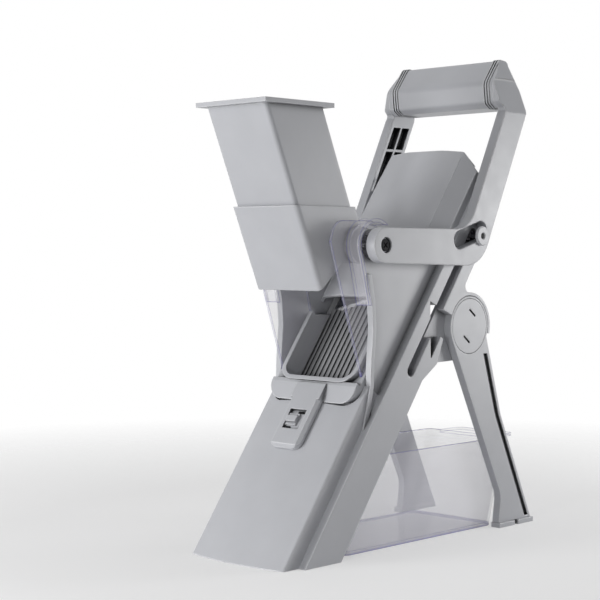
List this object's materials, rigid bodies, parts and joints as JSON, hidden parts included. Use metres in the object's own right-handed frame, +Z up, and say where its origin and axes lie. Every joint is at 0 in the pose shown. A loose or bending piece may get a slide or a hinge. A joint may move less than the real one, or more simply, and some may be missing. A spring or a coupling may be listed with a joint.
{
  "type": "mandoline slicer",
  "caption": "Upright kitchen slicer: a lever slides a bladed sled down a leaning ramp under a chute with a pusher, and slices fall into a tray behind.",
  "frame": {"origin": "on the table, under the middle of the whole object's outline", "axes": "+X across the width to the right of someone facing the food opening, +Y from the food opening to the legs, +Z up"},
  "size_m": [0.1326, 0.307, 0.3846],
  "materials": {
    "grey_plastic": "satin",
    "dark_plastic": "satin",
    "steel": "satin",
    "clear_plastic": "gloss"
  },
  "bodies": {
    "frame": {"side_frame_left": "grey_plastic", "side_frame_right": "grey_plastic", "front_cover": "grey_plastic", "upper_cover": "grey_plastic", "rear_brace": "steel", "return_spring_left": "steel", "return_spring_right": "steel", "pivot_bolt_left": "steel", "pivot_bolt_right": "steel"},
    "handle": {"handle_arm_left": "grey_plastic", "handle_arm_right": "grey_plastic", "handle_grip": "grey_plastic"},
    "sled": {"sled_frame": "grey_plastic", "cartridge_deck": "dark_plastic", "cartridge_blade": "steel", "guide_pin_left": "steel", "guide_pin_right": "steel", "pin_cap_left": "grey_plastic", "pin_cap_right": "grey_plastic"},
    "gate": {"gate_frame": "grey_plastic", "side_guard_left": "clear_plastic", "side_guard_right": "clear_plastic", "hopper": "grey_plastic"},
    "pusher": {"pusher": "grey_plastic"},
    "lock": {"lock_slider": "grey_plastic"},
    "legs": {"leg_left": "grey_plastic", "leg_right": "grey_plastic", "leg_sole_left": "grey_plastic", "leg_sole_right": "grey_plastic", "hub_cap_left": "grey_plastic", "hub_cap_right": "grey_plastic", "leg_axle": "steel"},
    "tray": {"catch_tray": "clear_plastic"}
  },
  "joints": [
    {"name": "handle_hinge", "type": "hinge", "parent": "frame", "child": "handle", "pos_m": [0, -0.05446, 0.23257], "axis": [-1, 0, 0], "range_deg": [0, 68.5], "stiffness_Nm_per_rad": 0.25, "springref_deg": -137.51, "deforming": ["return_spring_left", "return_spring_right"]},
    {"name": "sled_slide", "type": "slide", "parent": "frame", "child": "sled", "axis": [0, -0.5878, -0.809], "range_m": [0, 0.126]},
    {"name": "gate_hinge", "type": "hinge", "parent": "frame", "child": "gate", "pos_m": [0, -0.05446, 0.23257], "axis": [-1, 0, 0], "range_deg": [0, 35]},
    {"name": "pusher_slide", "type": "slide", "parent": "gate", "child": "pusher", "axis": [0, -0.3907, 0.9205], "range_m": [-0.078, 0.07]},
    {"name": "lock_slide", "type": "slide", "parent": "gate", "child": "lock", "axis": [1, 0, 0], "range_m": [0, 0.006]},
    {"name": "leg_hinge", "type": "hinge", "parent": "frame", "child": "legs", "pos_m": [0, 0.05787, 0.16789], "axis": [-1, 0, 0], "range_deg": [0, 50]},
    {"name": "tray_slide", "type": "slide", "parent": "frame", "child": "tray", "axis": [0, 1, 0], "range_m": [0, 0.18]}
  ],
  "couplings": [
    {"joint": "sled_slide", "follows": "handle_hinge", "m_per_rad": 0.10539}
  ]
}
